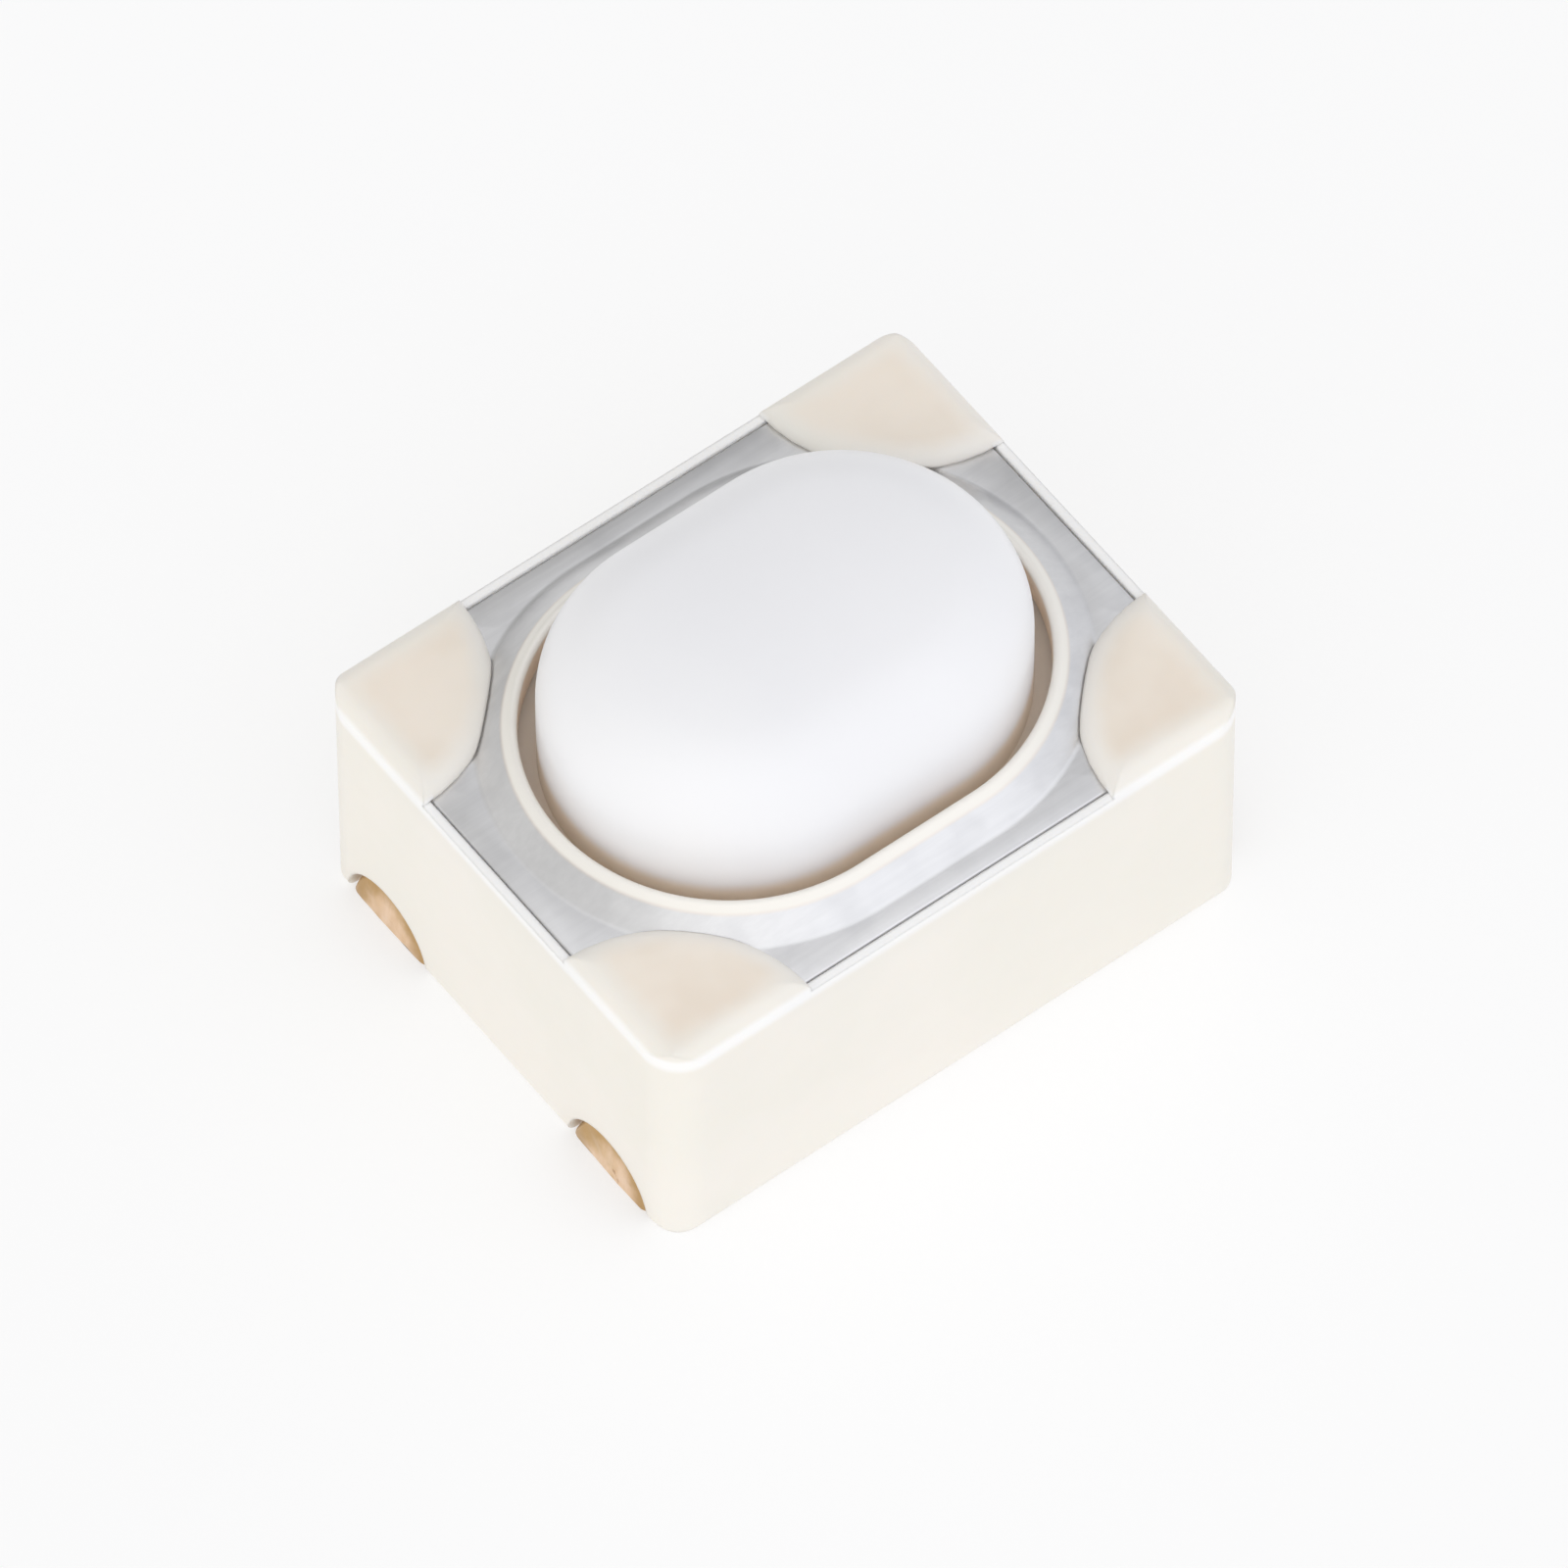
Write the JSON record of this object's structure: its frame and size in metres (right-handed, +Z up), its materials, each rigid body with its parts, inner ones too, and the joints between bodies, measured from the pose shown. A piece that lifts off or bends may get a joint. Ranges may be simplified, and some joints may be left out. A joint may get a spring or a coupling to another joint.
{
  "type": "tactile push button switch",
  "caption": "Surface-mount tactile switch: cream moulded housing with staked corner posts, steel cover with a drawn oval collar, and a tall white oval button.",
  "frame": {"origin": "middle of the solder face, at the height of the board", "axes": "+X along the long side of the housing, +Y along the short side, +Z up, the way the button comes out"},
  "size_m": [0.0036, 0.0028, 0.0023],
  "materials": {
    "housing": "moulded, slightly warm white",
    "cover": "satin, faintly brushed",
    "button": "smooth satin white",
    "film": "thin translucent amber film",
    "dome": "bright spring steel",
    "contact": "bare copper alloy at the cut ends, plated on the pads"
  },
  "bodies": {
    "base": {"housing": "housing", "cover_plate": "cover", "cover_film": "film", "snap_dome": "dome", "centre_contact": "contact", "outer_contact": "contact"},
    "plunger": {"button": "button"}
  },
  "joints": [
    {"name": "button_press", "type": "slide", "parent": "base", "child": "plunger", "axis": [0, 0, -1], "range_m": [0, 0.0002], "stiffness_N_per_m": 8000, "deforming": ["snap_dome", "cover_film"]}
  ]
}
